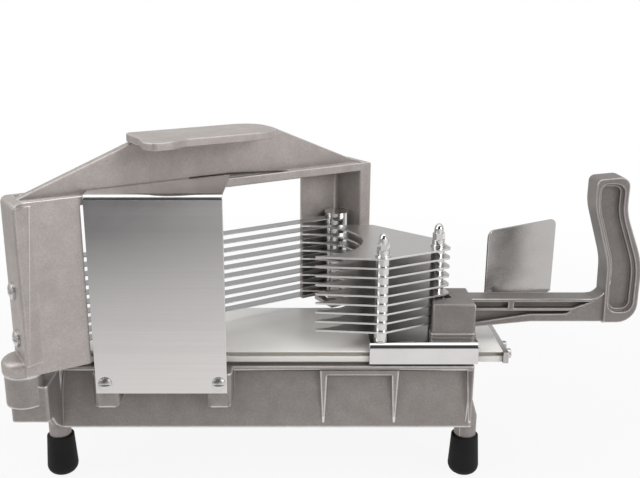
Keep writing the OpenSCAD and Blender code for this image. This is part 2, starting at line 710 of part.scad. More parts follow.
// A steel tab under the right post, which the lock screw clamps to the base
module lock_tab() {
    u0 = tab_u0;
    u1 = frame_len + tab_out;
    v0 = tab_v - tab_w/2;
    v1 = tab_v + tab_w/2;
    color([0.75, 0.75, 0.76]) in_frame() difference() {
        prism(rounded([[u0, v0], [u1, v0], [u1, v1], [u0, v1]], [2, tab_corner, tab_corner, 2]),
              frame_low, frame_low + tab_t);
        for (p = tab_bolts)
            translate([p.x, p.y, frame_low - cut]) cylinder(d = 4 + 2*hole_gap, h = tab_t + 2*cut);
    }
}
module lock_tab_screws() {
    color("silver") in_frame() for (p = tab_bolts)
        translate([p.x, p.y, frame_low]) rotate([180, 0, 0]) pan_screw(4, tab_t + 8, 7, 2.4);
}
// A rod with a slot for each blade on the side that faces the window, and screw holes on the other
module blade_rod(p, side, heights) {
    color([0.85, 0.85, 0.86]) in_frame() difference() {
        translate([p.x, p.y, rod_low]) cylinder(d = rod_d, h = rod_high - rod_low);
        for (k = [1:blade_count])
            translate([p.x - (side > 0 ? blade_grip : rod_d), p.y, blade_z(k)])
                translate([0, -blade_w/2 - hole_gap, -blade_t/2 - hole_gap])
                    cube([rod_d + blade_grip, blade_w + 2*hole_gap, blade_t + 2*hole_gap]);
        translate([p.x, p.y, rod_low - cut]) cylinder(d = blade_pin_d + 2*hole_gap, h = rod_high);
        for (z = heights)
            translate([p.x, p.y, z]) rotate([0, -90*side, 0]) cylinder(d = tension_d + 2*hole_gap, h = rod_d);
    }
}
module fixed_blade_rod() { blade_rod(right_rod, -1, fixed_z); }
module tension_blade_rod() { blade_rod(left_rod, 1, tension_z); }
// A strip with a hole at each end, its cutting edge towards the pusher
module blade(k) {
    u0 = left_rod.x - blade_grip + hole_gap;
    u1 = right_rod.x + blade_grip - hole_gap;
    color([0.72, 0.73, 0.74]) in_frame() difference() {
        translate([u0, blade_v - blade_w/2, blade_z(k) - blade_t/2]) cube([u1 - u0, blade_w, blade_t]);
        for (p = [left_rod, right_rod])
            translate([p.x, p.y, blade_z(k) - cut]) cylinder(d = blade_pin_d + 2*hole_gap, h = 2*cut);
    }
}
module blade_pins() {
    color("silver") in_frame() for (p = [left_rod, right_rod])
        translate([p.x, p.y, rod_low]) cylinder(d = blade_pin_d, h = rod_high - rod_low - 1);
}
module tension_screws() {
    color("silver") in_frame() for (z = tension_z)
        translate([-frame_over, blade_v, z]) rotate([0, -90, 0]) rotate(90)
            pan_screw(tension_d, frame_over + left_rod.x - blade_pin_d/2 - 0.3, 11, 3.4);
}
module fixed_rod_screws() {
    color("silver") in_frame() for (z = fixed_z)
        translate([frame_len, blade_v, z]) rotate([0, 90, 0]) rotate(90)
            pan_screw(tension_d, frame_len - right_rod.x - blade_pin_d/2 - 0.3, 11, 3.4);
}

// Pusher

// The channel that wraps the board, with a lip in each groove
module carriage_plate() {
    y0 = board_y0 - side_gap - flange_t;
    y1 = board_y1 + side_gap + flange_t;
    lip_z = board_top - groove_over - groove_h/2;
    lip = side_gap + groove_d - 0.8;
    lip_h = groove_h/2 - 0.5;
    half = [[flange_t, car_low], [flange_t, lip_z - lip_h], [flange_t + lip, lip_z - lip_h],
            [flange_t + lip, lip_z + lip_h], [flange_t, lip_z + lip_h], [flange_t, car_under]];
    outer = rounded([[y0, car_low], [y0, car_top], [y1, car_top], [y1, car_low]],
                    [0, carriage_bend, carriage_bend, 0]);
    color([0.85, 0.85, 0.86]) placed() difference() {
        along_x(concat(outer, [for (p = half) [y1 - p.x, p.y]],
                       [for (i = [len(half) - 1:-1:0]) [y0 + half[i].x, half[i].y]]), car_x0, car_x1);
        for (p = [stud_front, stud_rear])
            translate([p.x, p.y, car_under - cut]) cylinder(d = stud_d + 2*hole_gap, h = 2*cut + carriage_t);
        for (p = block_bolts) translate([p.x, p.y, car_under]) block_screw(hole_gap);
    }
}
// Plastic strips under the carriage's top, which ride on the board
module slide_strips() {
    w = 10;
    in_y = groove_d + 4;
    color([0.93, 0.92, 0.88]) placed() for (y = [board_y0 + in_y, board_y1 - in_y - w])
        translate([car_x0 + 1, y, board_top + slide_gap]) cube([carriage_len - 2, w, strip_t]);
}
block_bolts = [[car_x1 - 7, block_y0 + 7], [car_x1 - 7, block_y0 + block_w - 7]];
// A countersunk screw up through the carriage into the block
module block_screw(gap) {
    translate([0, 0, -gap]) cylinder(r1 = 4.6 + 2*gap, r2 = 2.5 + gap, h = 2 + gap);
    cylinder(r = 2.5 + gap, h = carriage_t + 13 + gap);
}
module block_screws() {
    color("silver") placed() for (p = block_bolts) translate([p.x, p.y, car_under]) block_screw(0);
}
module cast_block() {
    draft = 0.8;
    sill = 0.8;
    y1 = block_y0 + block_w;
    x1 = block_x0 + block_len;
    z1 = car_top + block_h;
    difference() {
        union() {
            intersection() {
                along_y(rounded([[block_x0, car_top], [x1, car_top], [x1 - draft, z1],
                                 [block_x0 + draft, z1]], [0, 0, 1.5, 1.5]), block_y0, y1);
                along_x(rounded([[block_y0, car_top], [y1, car_top], [y1 - draft, z1],
                                 [block_y0 + draft, z1]], [0, 0, 1.5, 1.5]), block_x0, x1);
                prism(rounded([[block_x0, block_y0], [x1, block_y0], [x1, y1], [block_x0, y1]],
                              [3, 3, 3, 3]), car_top, z1);
            }
            prism(rounded([[block_x0 - sill, block_y0 - sill], [x1 + sill/2, block_y0 - sill],
                           [x1 + sill/2, y1 + sill], [block_x0 - sill, y1 + sill]], [3, 3, 3, 3]),
                  car_top, car_top + 3);
        }
        prism(grown(PLATE, block_gap), car_top - cut, z1 + cut);
    }
}
arm_high = arm_low + 16.2;
grip_top = arm_low + grip_h;
module arm() {
    x0 = block_x0 + block_len - 4;
    rib = car_x1 + 25;
    mid = arm_low + 8.6;
    pocket_y = arm_y - 2.5;
    difference() {
        along_y(rounded([[x0, arm_low - 4.4], [x0 + 43, arm_low], [grip_x + 16, arm_low],
                         [grip_x + 16, arm_high + 14], [grip_x + 11, arm_high], [x0, arm_high]],
                        [0, 30, 0, 0, 10, 0]), arm_y - arm_t/2, arm_y + arm_t/2);
        for (x = [[x0, rib - 2, rib - 2], [rib + 2, grip_x - 8, grip_x + 4]])
            along_y([[x[0], mid + 0.9], [x[1], mid + 0.9], [x[2], arm_high - 2.2], [x[0], arm_high - 2.2]],
                    arm_y - arm_t, pocket_y);
        along_y([[x0, arm_low - 1.6], [x0 + 42, arm_low + 5.2], [grip_x - 12, arm_low + 5.6],
                 [grip_x - 9, mid - 0.9], [x0, mid - 0.9]], arm_y - arm_t, pocket_y);
        for (x = hand_guard_bolts)
            translate([x, arm_y + arm_t/2 + cut, hand_guard_bolt_z]) rotate([90, 0, 0])
                cylinder(d = 4 + 2*hole_gap, h = 8);
    }
}
// The grip's side outline bows towards the hand, and a pocket follows it on both sides
module grip() {
    u = grip_x;
    w = grip_w;
    side = rounded([[u, grip_top - 2], [u, grip_top - 20], [u + 12, arm_low + 42], [u + 13, arm_low],
                    [u + w, arm_low], [u + w, arm_low + 42], [u + 21.5, grip_top - 24], [u + 21.5, grip_top]],
                   [4, 40, 50, 0, 13, 60, 40, 6]);
    pocket = [[u + 2.6, grip_top - 5], [u + 2.6, grip_top - 21], [u + 14.6, arm_low + 42],
              [u + 15, arm_low + 7.5], [u + w - 3.2, arm_low + 7.5], [u + w - 3.4, arm_low + 40],
              [u + 18.6, grip_top - 25], [u + 18.6, grip_top - 5]];
    pocket_r = [5, 36, 50, 6.5, 6.5, 50, 40, 6];
    ledge = 2;
    difference() {
        along_y(side, arm_y - grip_t/2, arm_y + grip_t/2);
        for (i = [0, 1]) {
            outline = rounded(grown(pocket, -ledge*i), [for (r = pocket_r) r - ledge*i]);
            floor_y = grip_t/2 - 3*(i + 1);
            along_y(outline, arm_y - grip_t/2 - cut, arm_y - floor_y);
            along_y(outline, arm_y + floor_y, arm_y + grip_t/2 + cut);
        }
    }
    translate([u + 15, arm_y - 4, arm_low + 0.5]) rotate([-90, 0, 0]) cylinder(r = 2.6, h = 8);
}
module pusher_casting() {
    color([0.66, 0.64, 0.62]) placed() difference() {
        union() {
            cast_block();
            arm();
            grip();
        }
        for (p = block_bolts) translate([p.x, p.y, car_under]) block_screw(hole_gap);
    }
}
module finger_plate(k) {
    color([0.75, 0.75, 0.75]) placed() translate([0, 0, plate_z(k) - plate_t/2])
        linear_extrude(plate_t) difference() {
            polygon(rounded(PLATE, PLATE_R));
            translate(recess_c) circle(r = recess_r, $fn = 96);
            for (p = [stud_front, stud_rear]) translate(p) circle(d = stud_d + 2*hole_gap);
        }
}
// A spacer under each plate, the lowest one on the carriage
module spacers(p) {
    color([0.85, 0.85, 0.86]) placed() translate([p.x, p.y, 0]) for (k = [1:plate_count])
        ring(spacer_d/2, stud_d/2 + hole_gap, k == 1 ? car_top : plate_z(k - 1) + plate_t/2,
             plate_z(k) - plate_t/2);
}
module front_spacers() { spacers(stud_front); }
module rear_spacers() { spacers(stud_rear); }
stack_top = plate_z(plate_count) + plate_t/2;
module finger_studs() {
    color("silver") placed() for (p = [stud_front, stud_rear])
        translate([p.x, p.y, car_under]) cylinder(d = stud_d, h = stack_top + collar_h + nut_h - car_under);
}
module stud_collars() {
    color([0.85, 0.85, 0.86]) placed() for (p = [stud_front, stud_rear]) translate([p.x, p.y, 0]) {
        ring(spacer_d/2 + 0.5, stud_d/2 + hole_gap, stack_top, stack_top + 1.2);
        ring(spacer_d/2 - 0.4, stud_d/2 + hole_gap, stack_top + 1.2, stack_top + collar_h);
    }
}
module acorn_nuts() {
    z0 = stack_top + collar_h;
    r = nut_af/2 - 0.4;
    color([0.85, 0.85, 0.86]) placed() for (p = [stud_front, stud_rear])
        translate([p.x, p.y, z0]) difference() {
            union() {
                cylinder(d = nut_af/cos(30), h = nut_h, $fn = 6);
                translate([0, 0, nut_h - cut]) rotate_extrude() polygon(concat([[0, 0], [r, 0]],
                    [for (a = [0:15:90]) [r*cos(a), cut + 2 + (dome_h - 2)*sin(a)]]));
            }
            translate([0, 0, -cut]) cylinder(d = stud_d + 2*hole_gap, h = nut_h + cut + 1);
        }
}
hand_guard_p = [car_x1 + 10.5, arm_y + arm_t/2 + 1];
hand_guard_z = arm_low + 5;
hand_guard_bolts = [hand_guard_p.x + 8, hand_guard_p.x + 26];
hand_guard_bolt_z = hand_guard_z + 6;
// A sheet behind the arm: an upright along the frame's direction, a floor, and a tab on the arm's back
module hand_guard() {
    t = hand_guard_t;
    l = hand_guard_len;
    p = hand_guard_p;
    tip = p + turn([l, 0]);
    back = arm_y + arm_t/2;
    color([0.72, 0.72, 0.72]) placed() difference() {
        union() {
            translate([p.x, p.y, 0]) rotate(frame_angle)
                along_y(rounded([[0, hand_guard_z], [l, hand_guard_z], [l, hand_guard_z + hand_guard_h],
                                 [0, hand_guard_z + hand_guard_h]], [0, 0, 5, 5]), 0, t);
            prism([p, [p.x, back], [p.x + 34, back], tip, tip + turn([0, t]), p + turn([0, t])],
                  hand_guard_z, hand_guard_z + t);
            translate([p.x, back, hand_guard_z]) cube([34, t, 11]);
        }
        for (x = hand_guard_bolts)
            translate([x, back - cut, hand_guard_bolt_z]) rotate([-90, 0, 0])
                cylinder(d = 4 + 2*hole_gap, h = t + 2*cut);
    }
}
module hand_guard_screws() {
    color("silver") placed() for (x = hand_guard_bolts)
        translate([x, arm_y + arm_t/2 + hand_guard_t, hand_guard_bolt_z]) rotate([-90, 0, 0])
            pan_screw(4, hand_guard_t + 6, 8, 2.4);
}

base_casting();
rubber_foot(-leg_x, leg_y[0]);  // rubber_foot_front_left
rubber_foot(leg_x, leg_y[0]);  // rubber_foot_front_right
rubber_foot(-leg_x, leg_y[1]);  // rubber_foot_rear_left
rubber_foot(leg_x, leg_y[1]);  // rubber_foot_rear_right
slide_board();
board_screws();
front_guard();
guard_screws();
end_stop();
end_stop_screws();
pivot_pin();
pivot_washer();
lock_knob();
lock_stud();
frame_casting();
lock_tab();
lock_tab_screws();
fixed_blade_rod();
tension_blade_rod();
blade_pins();
tension_screws();
fixed_rod_screws();
carriage_plate();
slide_strips();
pusher_casting();
block_screws();
front_spacers();
rear_spacers();
finger_studs();
stud_collars();
acorn_nuts();
hand_guard();
hand_guard_screws();
for (k = [1:blade_count]) blade(k);
for (k = [1:plate_count]) finger_plate(k);
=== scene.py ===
"""Looks of a push-through tomato slicer: softened castings, brushed and polished steel, a plastic
slide board and rubber feet, in a white studio seen from the front, a little from above."""

import json
import math

import bmesh
import bpy
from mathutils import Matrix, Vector


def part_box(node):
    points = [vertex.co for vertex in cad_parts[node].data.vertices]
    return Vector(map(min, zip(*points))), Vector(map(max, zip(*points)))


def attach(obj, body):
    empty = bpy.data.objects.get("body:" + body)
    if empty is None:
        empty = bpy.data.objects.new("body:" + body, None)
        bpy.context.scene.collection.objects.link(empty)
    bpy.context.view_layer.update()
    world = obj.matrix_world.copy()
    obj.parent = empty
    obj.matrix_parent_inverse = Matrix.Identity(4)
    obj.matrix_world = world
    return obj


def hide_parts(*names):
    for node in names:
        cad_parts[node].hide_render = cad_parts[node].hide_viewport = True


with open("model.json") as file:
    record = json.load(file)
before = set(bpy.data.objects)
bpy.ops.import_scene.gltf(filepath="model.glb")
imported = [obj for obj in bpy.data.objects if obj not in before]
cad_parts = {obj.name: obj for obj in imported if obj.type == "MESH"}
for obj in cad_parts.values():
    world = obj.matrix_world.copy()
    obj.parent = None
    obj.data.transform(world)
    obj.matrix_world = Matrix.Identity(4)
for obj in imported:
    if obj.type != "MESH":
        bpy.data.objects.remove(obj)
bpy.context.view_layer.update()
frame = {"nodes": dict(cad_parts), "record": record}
nodes = frame["nodes"]
slot_of = {part["node"]: part["material_slot"] for part in frame["record"]["subparts"]}
body_of = {name: body for body, names in frame["record"]["behaviour"]["bodies"].items() for name in names}

MM = 0.001

# Camera, fitted to the photograph
IMAGE_W = 640
CAMERA_AT = Vector((-20.15, -558.05, 317.3)) * MM
CAMERA_PITCH = math.radians(15.70)
FOCAL_PX = 827.4
AXIS_PX = 298.32
SENSOR = 36.0
CLIP = (0.01, 100.0)

# Softened edges

# Width of the rounded edges, and the seated parts under which the edges stay sharp
SOFTENED = {
    "base_casting": (0.6 * MM, ("pivot_pin", "guard_screws", "lock_stud")),
    "frame_casting": (0.6 * MM, ("tension_blade_rod", "fixed_blade_rod", "tension_screws",
                                 "fixed_rod_screws", "lock_tab_screws", "pivot_pin")),
    "pusher_casting": (0.5 * MM, ("block_screws", "hand_guard_screws")),
    "slide_board": (0.3 * MM, ("end_stop_screws", "board_screws")),
    "front_guard": (0.3 * MM, ("guard_screws",)),
    "carriage_plate": (0.25 * MM, ("finger_studs", "block_screws")),
    "hand_guard": (0.25 * MM, ("hand_guard_screws",)),
    "end_stop": (0.25 * MM, ("end_stop_screws",)),
}
# Distance round a seated part within which an edge counts as seated
SEAT_MARGIN = 1.5 * MM
# Spare length that a bevelled edge keeps, as a share
ROOM = 1.02
# Edges that turn by more than this are rounded
EDGE_ANGLE = math.radians(32)
EDGE_SEGMENTS = 3
# Edges that turn by more than this are shaded sharp
SHADING_ANGLE = math.radians(38)
# Corners closer than this are one corner, and faces flatter than this are one face
MERGE_WITHIN = 0.002 * MM
FLAT_WITHIN = math.radians(0.6)
# Sine below which a face's corner counts as straight
STRAIGHT_CORNER = 1e-4

# Colours of the finishes
CAST_DARK = (0.380, 0.346, 0.330)
CAST_PALE = (0.470, 0.433, 0.415)
CAST_GRAIN = (0.29, 0.258, 0.243)
CAST_PIT = (0.2, 0.183, 0.168)
# Painted shade for inner corners and pockets of the castings
CAST_SHADE = (0.15, 0.132, 0.120)
# Bright outer edges of the castings: partly worn edges, partly painted highlight
CAST_WORN_HIGHLIGHT = (0.92, 0.895, 0.875)
# Bright outer edges of the sheets: partly worn edges, partly painted highlight
SHEET_WORN_HIGHLIGHT = (0.96, 0.955, 0.95)
# Bright outer edges of the polished and screw steel: partly worn edges, partly painted highlight
STEEL_WORN_HIGHLIGHT = (0.92, 0.92, 0.91)
BOARD_CLEAN = (0.95, 0.925, 0.895)
BOARD_SMEARED = (0.92, 0.895, 0.86)
BOARD_STREAK = (0.84, 0.81, 0.75)
# Painted shade in the board's groove and under its edges
BOARD_SHADE = (0.50, 0.47, 0.38)
# How far red, green and blue light go into the board, as shares of the subsurface scale
BOARD_DEPTH = (1.0, 0.9, 0.7)
RUBBER_DARK = (0.004, 0.004, 0.0045)
RUBBER_PALE = (0.009, 0.0085, 0.0085)
KNOB_BLACK = (0.015, 0.015, 0.016)
# The knob's paler edges: partly worn edges, partly painted highlight
KNOB_WORN_HIGHLIGHT = (0.08, 0.078, 0.075)
# The blade frame's slant in plan, which the blades' ground lines follow
BLADE_TURN = (0.0, 0.0, -math.radians(31.6))

# Studio, in metres and watts
WHITE = (1.0, 1.0, 1.0)
FLOOR_HALF = 12.0
FLOOR_GREY = (0.5, 0.5, 0.5, 1.0)
# Distances from the middle over which the floor's shadow fades out, and the share of plain white at them
SHADOW_REACH = (0.30, 0.75)
SHADOW_WHITE = (0.91, 1.0)
# Metal sees the floor darken towards a spot at the front left, where the paper ends
DARK_SPOT = (-0.55, -1.05, 0.0)
DARK_REACH = (0.22, 0.95)
# It also sees the floor lose light towards its left side: two places in X, and the share of light at them
LEFT_REACH = (-0.85, -0.30)
LEFT_SHARE = (0.4, 1.0)
PAPER_DARK = (0.03, 0.03, 0.036)
PAPER_WHITE = (1.0, 0.985, 0.975)
# The room turns from dark to bright over these Y parts of the direction seen
ROOM_TURN = (-0.64, -0.46)
ROOM_DARK = (0.07, 0.07, 0.075)
ROOM_BRIGHT = (0.70, 0.70, 0.70)
# Place, aim, width and height, watts
SOFTBOXES = {
    "left softbox": ((-1.05, -0.50, 0.80), (0.0, 0.0, 0.1), (0.7, 0.8), 5.5),
    "right softbox": ((1.70, -1.90, 1.35), (-0.05, 0.0, 0.15), (1.0, 1.0), 25.0),
    "overhead softbox": ((0.0, -0.25, 1.5), (0.0, -0.25, 0.0), (1.6, 1.1), 6.5),
}

# Colour sockets of a Mix node, which shares their names with its other types
MIX_A = 6
MIX_B = 7
MIX_RESULT = 2


# Shader nodes

def node(tree, kind, values=None, links=None, **settings):
    """A node with its settings, its socket values and its incoming links."""
    made = tree.nodes.new(kind)
    for key, value in settings.items():
        setattr(made, key, value)
    for key, value in (values or {}).items():
        made.inputs[key].default_value = value
    for key, source in (links or {}).items():
        tree.links.new(source, made.inputs[key])
    return made


def object_place(tree):
    """Place on the piece, in the frame that all pieces share."""
    return node(tree, "ShaderNodeTexCoord").outputs["Object"]


def math_node(tree, operation, a, b):
    """A Math node's result for two values or sockets."""
    made = node(tree, "ShaderNodeMath", operation=operation)
    for socket, value in zip(made.inputs, (a, b)):
        if isinstance(value, (int, float)):
            socket.default_value = value
        else:
            tree.links.new(value, socket)
    return made.outputs[0]


def scaled(tree, source, share):
    """A value times a share, which may be a socket too."""
    return math_node(tree, "MULTIPLY", source, share)


def span(tree, source, found, wanted=(0.0, 1.0)):
    """A value mapped from the found range to the wanted one and held inside it."""
    ends = {"From Min": found[0], "From Max": found[1], "To Min": wanted[0], "To Max": wanted[1]}
    return node(tree, "ShaderNodeMapRange", ends, {"Value": source}).outputs["Result"]


def mixed(tree, factor, a, b):
    """A colour mix; a and b are colours or sockets."""
    mix = node(tree, "ShaderNodeMix", links={"Factor": factor}, data_type="RGBA")
    for socket, value in ((mix.inputs[MIX_A], a), (mix.inputs[MIX_B], b)):
        if isinstance(value, tuple):
            socket.default_value = (*value, 1.0)
        else:
            tree.links.new(value, socket)
    return mix.outputs[MIX_RESULT]


def distance_from(tree, centre):
    """Distance of the surface from a fixed point."""
    return node(tree, "ShaderNodeVectorMath", {1: centre}, {0: object_place(tree)},
                operation="DISTANCE").outputs["Value"]


def shade(colour, share):
    """A colour made lighter or darker."""
    return tuple(share * part for part in colour)


# Shader node groups

def group(name, inputs, outputs, kind="NodeSocketFloat"):
    """A shader node group with its two end nodes; inputs hold their defaults, outputs are of one kind."""
    tree = bpy.data.node_groups.new(name, "ShaderNodeTree")
    for label, default in inputs.items():
        input_kind = "NodeSocketVector" if isinstance(default, tuple) else "NodeSocketFloat"
        socket = tree.interface.new_socket(label, in_out="INPUT", socket_type=input_kind)
        socket.default_value = default
    for label in outputs:
        tree.interface.new_socket(label, in_out="OUTPUT", socket_type=kind)
    return tree, tree.nodes.new("NodeGroupInput"), tree.nodes.new("NodeGroupOutput")


def make_cast_skin():
    """The skin of a sand casting after blasting: soft blotches, fine grain and a few pits."""
    tree, given, out = group("cast skin", {"Blotch Scale": 30.0, "Grain Scale": 1500.0},
                             ("Blotches", "Grain", "Pits"))
    place = object_place(tree)
    blotch = node(tree, "ShaderNodeTexNoise", {"Detail": 5.0, "Roughness": 0.6},
                  {"Vector": place, "Scale": given.outputs["Blotch Scale"]})
    grain = node(tree, "ShaderNodeTexNoise", {"Detail": 3.0, "Roughness": 0.65},
                 {"Vector": place, "Scale": given.outputs["Grain Scale"]})
    cells = node(tree, "ShaderNodeTexVoronoi", {"Scale": 160.0, "Randomness": 1.0}, {"Vector": place})
    tree.links.new(span(tree, blotch.outputs["Fac"], (0.3, 0.7)), out.inputs["Blotches"])
    tree.links.new(grain.outputs["Fac"], out.inputs["Grain"])
    tree.links.new(span(tree, cells.outputs["Distance"], (0.03, 0.1), (1.0, 0.0)), out.inputs["Pits"])
    return tree


def make_edge_wear_and_highlight():
    """A mask of outer edges, where the solid is thin within the given reach, for worn edges and painted
    highlight.
    """
    tree, given, out = group("painted edge highlight and worn edges", {"Reach": 0.001, "Break Up": 0.5}, ("Worn Edges And Highlight",))
    depth = node(tree, "ShaderNodeAmbientOcclusion", links={"Distance": given.outputs["Reach"]},
                 samples=8, inside=True, only_local=True)
    edge = span(tree, depth.outputs["AO"], (0.93, 0.66))
    break_up_noise = node(tree, "ShaderNodeTexNoise", {"Scale": 140.0, "Detail": 4.0},
               {"Vector": object_place(tree)})
    edge_gaps = math_node(tree, "SUBTRACT", 1.0, span(tree, break_up_noise.outputs["Fac"], (0.35, 0.6)))
    kept = scaled(tree, edge_gaps, given.outputs["Break Up"])
    worn_and_highlit = scaled(tree, edge, math_node(tree, "SUBTRACT", 1.0, kept))
    tree.links.new(worn_and_highlit, out.inputs["Worn Edges And Highlight"])
    return tree


def make_brush_lines():
    """Fine parallel lines of a brushed or ground sheet; Stretch is small along the lines."""
    tree, given, out = group("brush lines", {"Turn": (0.0, 0.0, 0.0), "Stretch": (6.0, 1300.0, 1300.0)},
                             ("Lines", "Bands"))
    turned = node(tree, "ShaderNodeMapping",
                  links={"Vector": object_place(tree), "Rotation": given.outputs["Turn"]})
    laid = node(tree, "ShaderNodeVectorMath", operation="MULTIPLY",
                links={0: turned.outputs["Vector"], 1: given.outputs["Stretch"]}).outputs["Vector"]
    lines = node(tree, "ShaderNodeTexNoise", {"Scale": 1.0, "Detail": 1.5, "Roughness": 0.6},
                 {"Vector": laid})
    bands = node(tree, "ShaderNodeTexNoise", {"Scale": 0.08, "Detail": 3.0}, {"Vector": laid})
    tree.links.new(lines.outputs["Fac"], out.inputs["Lines"])
    tree.links.new(bands.outputs["Fac"], out.inputs["Bands"])
    return tree


def make_soft_corners():
    """The normal of a casting or sheet whose edges are rounded by the given radius."""
    tree, given, out = group("soft corners", {"Radius": 0.001}, ("Normal",), "NodeSocketVector")
    turned = node(tree, "ShaderNodeBevel", links={"Radius": given.outputs["Radius"]}, samples=6)
    tree.links.new(turned.outputs["Normal"], out.inputs["Normal"])
    return tree


def make_recess_shade():
    """A mask of inner corners and pockets, where shade falls, for painted shade."""
    tree, given, out = group("painted recess shade", {"Reach": 0.012}, ("Painted Shade",))
    open_sky = node(tree, "ShaderNodeAmbientOcclusion", links={"Distance": given.outputs["Reach"]},
                    samples=6)
    tree.links.new(span(tree, open_sky.outputs["AO"], (0.35, 0.95), (1.0, 0.0)), out.inputs["Painted Shade"])
    return tree


def make_handling():
    """Smears of handling and washing, from 0, clean, to 1."""
    tree, given, out = group("handling", {"Scale": 22.0}, ("Smears",))
    smear = node(tree, "ShaderNodeTexNoise", {"Detail": 6.0, "Roughness": 0.62, "Distortion": 0.6},
                 {"Vector": object_place(tree), "Scale": given.outputs["Scale"]})
    tree.links.new(span(tree, smear.outputs["Fac"], (0.35, 0.75)), out.inputs["Smears"])
    return tree


CAST_SKIN = make_cast_skin()
EDGE_WEAR_AND_HIGHLIGHT = make_edge_wear_and_highlight()
BRUSH_LINES = make_brush_lines()
SOFT_CORNERS = make_soft_corners()
RECESS_SHADE = make_recess_shade()
HANDLING = make_handling()


# Materials

def spaced(name):
    """A socket's name from a keyword, whose underscores stand for spaces."""
    return name.replace("_", " ")


def placed_group(tree, made, **values):
    """A node group in a material, with its own values."""
    own = {spaced(key): value for key, value in values.items()}
    return node(tree, "ShaderNodeGroup", own, node_tree=made)


def effect(tree, made, **values):
    """The output of a node group that has only one."""
    return placed_group(tree, made, **values).outputs[0]


def material(name, **constants):
    """A material with its Principled shader's plain values set."""
    made = bpy.data.materials.new(name)
    made.use_nodes = True
    shader = made.node_tree.nodes["Principled BSDF"]
    for key, value in constants.items():
        shader.inputs[spaced(key)].default_value = value
    return made, made.node_tree, shader


def feed(tree, shader, **sources):
    """Links sockets to the shader's inputs."""
    for key, source in sources.items():
        tree.links.new(source, shader.inputs[spaced(key)])


def bumped(tree, height, strength, depth, corner):
    """The normal of a fine relief from the height, over edges rounded by the corner radius."""
    return node(tree, "ShaderNodeBump", {"Strength": strength, "Distance": depth},
                {"Height": height, "Normal": effect(tree, SOFT_CORNERS, Radius=corner)}).outputs["Normal"]


def cast_aluminium(name, tone, bright_edge_width):
    """Blasted sand casting; tone lightens or darkens the skin, and the last argument is the width of its
    bright edges, partly worn edges and partly painted highlight.
    """
    made, tree, shader = material(name, Metallic=0.6)
    skin = placed_group(tree, CAST_SKIN, Blotch_Scale=90.0, Grain_Scale=800.0)
    grain = skin.outputs["Grain"]
    pits = skin.outputs["Pits"]
    worn_and_highlit = effect(tree, EDGE_WEAR_AND_HIGHLIGHT, Reach=bright_edge_width, Break_Up=0.2)
    smears = effect(tree, HANDLING, Scale=16.0)
    recess_shade = effect(tree, RECESS_SHADE, Reach=14 * MM)
    body = mixed(tree, skin.outputs["Blotches"], shade(CAST_DARK, tone), shade(CAST_PALE, tone))
    grained = mixed(tree, span(tree, grain, (0.35, 0.7), (0.0, 0.5)), body, shade(CAST_GRAIN, tone))
    pitted = mixed(tree, scaled(tree, pits, 0.3), grained, shade(CAST_PIT, tone))
    # Painted shade: the skin darkens in inner corners and pockets
    shaded_in_recesses = mixed(tree, scaled(tree, recess_shade, 0.25), pitted, shade(CAST_SHADE, tone))
    # Bright outer edges: partly worn edges, partly painted highlight
    colour = mixed(tree, scaled(tree, worn_and_highlit, 0.95), shaded_in_recesses, CAST_WORN_HIGHLIGHT)
    rough = math_node(tree, "ADD", span(tree, smears, (0.0, 1.0), (0.44, 0.56)),
                      scaled(tree, worn_and_highlit, -0.14))
    height = math_node(tree, "SUBTRACT", grain, pits)
    normal = bumped(tree, height, strength=0.35, depth=0.06 * MM, corner=1.1 * MM)
    feed(tree, shader, Base_Color=colour, Roughness=rough, Normal=normal)
    return made


def sheet_steel(name, tone, roughness, turn=(0.0, 0.0, 0.0)):
    """Brushed stainless sheet, its lines along x before the turn."""
    made, tree, shader = material(name, Metallic=1.0)
    brush = placed_group(tree, BRUSH_LINES, Turn=turn)
    smears = effect(tree, HANDLING, Scale=20.0)
    worn_and_highlit = effect(tree, EDGE_WEAR_AND_HIGHLIGHT, Reach=0.4 * MM, Break_Up=0.1)
    brushed = mixed(tree, span(tree, brush.outputs["Lines"], (0.3, 0.7)), shade(tone, 0.96), tone)
    # Bright outer edges: partly worn edges, partly painted highlight
    colour = mixed(tree, scaled(tree, worn_and_highlit, 0.9), brushed, SHEET_WORN_HIGHLIGHT)
    lines = span(tree, brush.outputs["Bands"], (0.3, 0.7), (roughness - 0.03, roughness + 0.03))
    rough = math_node(tree, "ADD", lines, scaled(tree, smears, 0.06))
    corners = effect(tree, SOFT_CORNERS, Radius=0.25 * MM)
    feed(tree, shader, Base_Color=colour, Roughness=rough, Normal=corners)
    return made


def bright_steel(name, tone, roughness):
    """Polished steel with faint smears."""
    made, tree, shader = material(name, Metallic=1.0)
    smears = effect(tree, HANDLING, Scale=45.0)
    worn_and_highlit = effect(tree, EDGE_WEAR_AND_HIGHLIGHT, Reach=0.4 * MM, Break_Up=0.3)
    smeared = mixed(tree, smears, tone, shade(tone, 0.93))
    # Bright outer edges: partly worn edges, partly painted highlight
    colour = mixed(tree, scaled(tree, worn_and_highlit, 0.4), smeared, STEEL_WORN_HIGHLIGHT)
    rough = span(tree, smears, (0.0, 1.0), (roughness, roughness + 0.07))
    normal = bumped(tree, smears, strength=0.02, depth=0.05 * MM, corner=0.3 * MM)
    feed(tree, shader, Base_Color=colour, Roughness=rough, Normal=normal)
    return made


